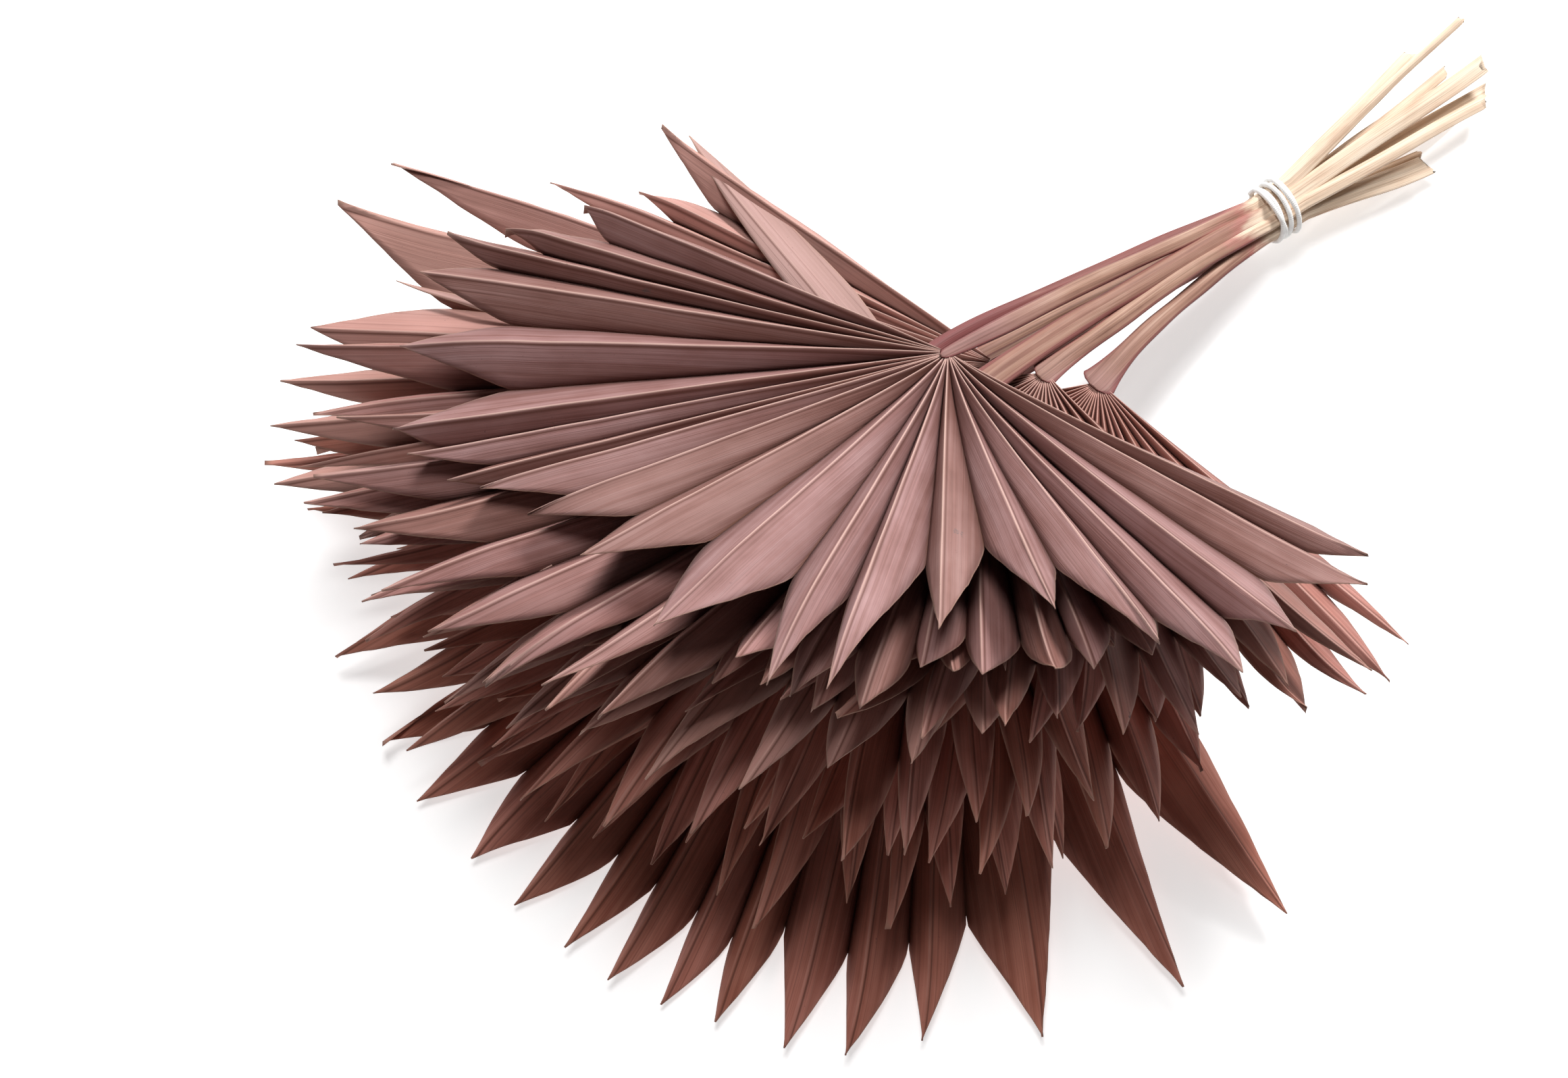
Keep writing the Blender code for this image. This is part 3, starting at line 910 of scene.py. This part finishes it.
def leaf_finish(scuffs):
    """Dry leaf under a dusty old-pink dye: fine fibres, worn and stained here and there, with painted light:
    a highlight on each pale rib, a shadow beside it, shade towards the creases, and lower blades painted
    lighter than the top one.
    """
    material, tree = new_finish("dyed_leaf")
    across = attribute(tree, "across")
    along = attribute(tree, "along")
    border = attribute(tree, "border")
    rim = attribute(tree, "rim")
    outer = attribute(tree, "outer")
    hue = attribute(tree, "hue")
    fibres = tree.noise(tree.vector(across * 3000.0, along * 14.0, hue * 70.0), 1.0, 2.0, 0.6)
    bands = tree.noise(tree.vector(across * 520.0, along * 7.0, hue * 50.0), 1.0, 2.0)
    clouds = tree.noise(tree.vector(across * 70.0, along * 26.0, hue * 33.0), 1.0, 3.0, 0.6)
    base = tree.ramp(clouds * 0.5 + bands * 0.5,
                     (0.30, (0.225, 0.108, 0.092)), (0.44, (0.305, 0.163, 0.146)),
                     (0.56, (0.360, 0.210, 0.195)), (0.72, (0.435, 0.278, 0.262)))
    tint = tree.blend(hue.fade(0.15, 0.85), (0.92, 0.83, 0.77, 1.0), (1.08, 1.02, 1.03, 1.0))
    base = tree.blend(1.0, base, tint, "MULTIPLY")
    # Lower blades painted lighter and warmer, the top one darker: partly tone, partly painted light.
    tone_and_painted_light = tree.blend(attribute(tree, "level"), LOWEST_TINT, TOP_TINT)
    base = tree.blend(1.0, base, tone_and_painted_light, "MULTIPLY")
    grain = tree.ramp(fibres, (0.28, (0.70, 0.66, 0.64)), (0.5, (1.0, 1.0, 1.0)), (0.72, (1.20, 1.19, 1.19)))
    base = tree.blend(0.6, base, grain, "MULTIPLY")
    # Painted shade that deepens towards each crease, more so near the hub where the pleats are deepest.
    near_hub = (along * -26.0).math("EXPONENT")
    valley_shade_mask = (border * (1.0 + near_hub)).fade(0.20, 1.0)
    base = tree.blend(valley_shade_mask * (0.45 + near_hub * 0.55), base, VALLEY_SHADE)
    base = tree.blend(attribute(tree, "pale") * 0.8, base, PALE_LEAF)
    # A pale line on each rib, partly its own colour and partly a painted highlight, stronger on the upper
    # blades; a painted shadow runs along one side of it.
    rib_half = along.fade(0.0, 0.05) * 0.00022 + 0.00014
    rib_colour_and_highlight = (-((across / rib_half) ** 2.0)).math("EXPONENT")
    rib_side = (-(((across - 0.0011) / 0.00045) ** 2.0)).math("EXPONENT")
    base = tree.blend(rib_side * 0.75, base, RIB_SHADOW)
    rib_colour_and_highlight = rib_colour_and_highlight * (attribute(tree, "level") * 0.50 + 0.25) * (1.0 - outer * 0.6)
    base = tree.blend(rib_colour_and_highlight, base, RIB_COLOUR_AND_HIGHLIGHT)
    # A thin dark line along each crease, partly its own colour and partly painted shade; it fades where the
    # segments part.
    valley = border.fade(0.93, 1.0) * (1.0 - outer.fade(0.0, 0.15))
    base = tree.blend(valley * 0.65, base, VALLEY_LINE_AND_SHADE)
    cut_edge = (1.0 - rim.fade(0.0001, 0.0007)) * outer.fade(0.0, 0.1)
    base = tree.blend(cut_edge * 0.45, base, CUT_EDGE)
    specks = tree.noise(tree.vector(across * 210.0, along * 95.0, hue * 91.0), 1.0, 4.0, 0.7)
    stain = specks.fade(0.72, 0.78)
    base = tree.blend(stain * 0.75, base, STAIN)
    dots = tree.noise(tree.vector(across * 1300.0, along * 900.0, hue * 17.0), 1.0, 1.0)
    base = tree.blend(dots.fade(0.74, 0.80) * 0.35, base, SPECK)
    vein_place = across.math("ABSOLUTE").math("PINGPONG", 0.0037) - 0.0037
    vein = (-((vein_place / 0.00022) ** 2.0)).math("EXPONENT") * along.fade(0.04, 0.09)
    base = tree.blend(vein * 0.28, base, VEIN)
    place = tree.node("ShaderNodeTexCoord", {}, {}, 3)
    smear = tree.noise(tree.vector(across * 700.0, along * 500.0, hue * 11.0), 1.0, 4.0, 0.75)
    for centre, size in scuffs:
        nearness = 1.0 - tree.vectors("DISTANCE", place, tuple(centre), output=1) / size
        worn = (nearness * 0.45 + smear).fade(0.66, 0.78) * nearness.fade(0.0, 0.3)
        base = tree.blend(worn * 0.65, base, SCUFF)
    roughness = 0.50 + fibres * 0.20 + clouds * 0.12
    height = fibres * 0.5 + bands * 0.9
    bump = tree.node("ShaderNodeBump", {}, {"Strength": 0.45, "Distance": 0.0005, "Height": height})
    finish_with(tree, base, roughness, bump, 0.25)
    return material


def stalk_finish():
    """Dry stalk: dyed near the leaf, bare straw past the tie, with red margins and old cracks."""
    material, tree = new_finish("dry_stalk")
    across = attribute(tree, "across")
    top = attribute(tree, "top")
    along = attribute(tree, "along")
    tail = attribute(tree, "tail")
    dye = attribute(tree, "dye")
    redness = attribute(tree, "redness")
    hue = attribute(tree, "hue")
    fibres = tree.noise(tree.vector(across * 2400.0, along * 16.0, hue * 60.0), 1.0, 3.0, 0.6)
    streaks = tree.noise(tree.vector(across * 500.0, along * 9.0, hue * 40.0), 1.0, 2.0)
    patches = tree.noise(tree.vector(across * 120.0, along * 30.0, hue * 21.0), 1.0, 3.0, 0.6)
    bare = tree.ramp(streaks * 0.5 + patches * 0.5,
                     (0.30, (0.600, 0.400, 0.280)), (0.5, (0.800, 0.630, 0.480)),
                     (0.72, (0.880, 0.760, 0.630)))
    tan = tree.ramp(streaks * 0.6 + patches * 0.4,
                     (0.32, (0.220, 0.110, 0.078)), (0.5, (0.390, 0.228, 0.162)),
                    (0.68, (0.540, 0.365, 0.270)))
    mauve = tree.ramp(streaks * 0.5 + patches * 0.5,
                     (0.30, (0.200, 0.095, 0.080)), (0.55, (0.330, 0.182, 0.162)),
                      (0.75, (0.430, 0.270, 0.245)))
    dyed = (along * -16.0).math("EXPONENT") * 1.5 * dye + (patches - 0.5) * 0.5
    base = tree.blend(dyed.fade(0.25, 0.85), tan, mauve)
    worn = tail * 24.0 + 1.20 + (patches - 0.5) * 1.6 - redness * 0.4
    base = tree.blend(worn.fade(0.25, 0.95), base, bare)
    margin = (top.math("ABSOLUTE") + (streaks - 0.5) * 0.6).fade(0.66, 0.90)
    red = (margin * 0.8 + redness * 1.1 * (patches + 0.25).fade(0.35, 0.75)).math("MINIMUM", 1.0)
    red = red * (1.0 - (tail + (patches - 0.5) * 0.04).fade(-0.028, 0.0))
    base = tree.blend(red * 0.85, base, STALK_MARGIN)
    worn_edge = (-(((worn - 0.50) / 0.16) ** 2.0)).math("EXPONENT") * (1.0 - tail.fade(-0.012, -0.004))
    base = tree.blend(worn_edge * 0.55, base, WORN_DYE)
    blush = (patches.fade(0.55, 0.75) * tail.fade(-0.01, 0.01)) * 0.22
    base = tree.blend(blush, base, STALK_BLUSH)
    grain = tree.ramp(fibres,
                     (0.28, (0.52, 0.46, 0.41)), (0.5, (0.83, 0.82, 0.81)), (0.72, (0.98, 0.97, 0.96)))
    base = tree.blend(0.9, base, grain, "MULTIPLY")
    slits = tree.noise(tree.vector(along * 95.0 + across * 30.0, hue * 80.0, 0.5), 1.0, 3.0, 0.7)
    crack = slits.fade(0.735, 0.755) * (1.0 - tail.fade(-0.02, 0.0))
    base = tree.blend(crack * 0.8, base, CRACK)
    roughness = 0.50 + fibres * 0.20
    height = fibres * 0.5 + streaks - crack * 1.5
    bump = tree.node("ShaderNodeBump", {}, {"Strength": 0.5, "Distance": 0.0005, "Height": height})
    finish_with(tree, base, roughness, bump, 0.25)
    return material


def elastic_finish():
    """White covered elastic: a fine slanted braid, with grey painted shade in its hollows."""
    material, tree = new_finish("covered_elastic")
    wound = attribute(tree, "wound")
    place = tree.node("ShaderNodeTexCoord", {}, {}, 3)
    _, _, z = place.parts()
    slant = (wound * 95.0 + z * 900.0).math("SINE") * 0.5 + 0.5
    counter = (wound * 95.0 - z * 900.0).math("SINE") * 0.5 + 0.5
    braid = slant.math("MAXIMUM", counter)
    dust = tree.noise(place, 260.0, 3.0)
    # Grey painted shade in the hollows of the braid.
    base = tree.blend((1.0 - braid) * 0.55, (0.900, 0.895, 0.880, 1.0), (0.640, 0.630, 0.610, 1.0))
    base = tree.blend(dust.fade(0.45, 0.8) * 0.25, base, (0.600, 0.560, 0.500, 1.0))
    bump = tree.node("ShaderNodeBump", {}, {"Strength": 0.6, "Distance": 0.0002, "Height": braid})
    finish_with(tree, base, 0.70 + dust * 0.15, bump, 0.3)
    return material


def floor_finish():
    """A pale, dull floor, a little bright in itself, so that shadows on it stay light."""
    material, tree = new_finish("pale_floor")
    place = tree.node("ShaderNodeTexCoord", {}, {}, 3)
    speckle = tree.noise(place, 40.0, 3.0)
    tone = tree.blend(speckle * 0.06, (0.78, 0.78, 0.78, 1.0), (0.72, 0.72, 0.72, 1.0))
    bump = tree.node("ShaderNodeBump", {}, {"Strength": 0.05, "Distance": 0.0005, "Height": speckle})
    shader = tree.add("ShaderNodeBsdfPrincipled", {}, {
        "Base Color": tone, "Roughness": 0.9, "Normal": bump, "Specular IOR Level": 0.1,
        "Emission Color": (1.0, 1.0, 1.0, 1.0), "Emission Strength": FLOOR_GLOW})
    tree.add("ShaderNodeOutputMaterial", {}, {"Surface": Wire(tree, shader.outputs[0])})
    return material


# ---- studio ----
def layout_point(point, origin):
    """A point of the layout, turned and moved to where the part stands."""
    x, y, z = point
    cosine, sine = math.cos(STEMS_YAW), math.sin(STEMS_YAW)
    return Vector((x * cosine + y * sine, y * cosine - x * sine, z)) + origin


def add_camera(origin):
    lens = bpy.data.cameras.new("camera")
    lens.sensor_width = 36
    lens.lens = CAMERA_LENS
    lens.clip_end = 50
    camera = bpy.data.objects.new("camera", lens)
    camera.location = layout_point(CAMERA_PLACE, origin)
    camera.rotation_euler = (CAMERA_TILT, 0, -STEMS_YAW)
    bpy.context.scene.collection.objects.link(camera)
    bpy.context.scene.camera = camera


def add_area_light(name, place, aim, size, power, origin):
    lamp = bpy.data.lights.new(name, "AREA")
    lamp.shape = "DISK"
    lamp.size = size
    lamp.energy = power
    light = bpy.data.objects.new(name, lamp)
    light.location = layout_point(place, origin)
    direction = layout_point(aim, origin) - light.location
    light.rotation_euler = direction.to_track_quat("-Z", "Y").to_euler()
    bpy.context.scene.collection.objects.link(light)


def add_studio(origin):
    mesh = bpy.data.meshes.new("floor")
    half = FLOOR_HALF
    corners = [(-half, -half, 0), (half, -half, 0), (half, half, 0), (-half, half, 0)]
    mesh.from_pydata(corners, [], [(0, 1, 2, 3)])
    floor = placed("floor", mesh)
    mesh.materials.append(floor_finish())
    floor.location.z = -FLOOR_DROP
    world = bpy.data.worlds.new("studio")
    bpy.context.scene.world = world
    world.use_nodes = True
    background = world.node_tree.nodes["Background"]
    background.inputs["Color"].default_value = (1.0, 0.99, 0.98, 1.0)
    background.inputs["Strength"].default_value = WORLD_LIGHT
    for light in LIGHTS:
        add_area_light(*light, origin)
    bpy.context.scene.view_settings.view_transform = "Standard"


def main():
    for thing in list(bpy.data.objects):
        bpy.data.objects.remove(thing, do_unlink=True)
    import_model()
    low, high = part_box("tie")
    origin = (low + high) / 2 - Vector((TIE_DISTANCE, 0, TIE_HEIGHT))
    add_camera(origin)
    add_studio(origin)
    scuffs = []
    for angle, distance, size in SCUFFS:
        x, y, _ = run_along(TOP_LAYER, angle) * distance
        scuffs.append((layout_point((x, y, layer_height(TOP_LAYER, x, y)), origin), size))
    leaf = leaf_finish(scuffs)
    group = blade_tree()
    for layer in range(len(FRONDS)):
        blade = make_blade(layer, group, origin, leaf)
        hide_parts(f"blade_{layer + 1:02d}")
        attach(blade, "root")
    stalk = stalk_finish()
    for layer in range(len(FRONDS)):
        make_stalk(layer, origin, stalk)
    make_tie(origin, elastic_finish())
    for strip in LOOSE_STRIPS:
        make_loose_strip(*strip, origin, leaf)


main()
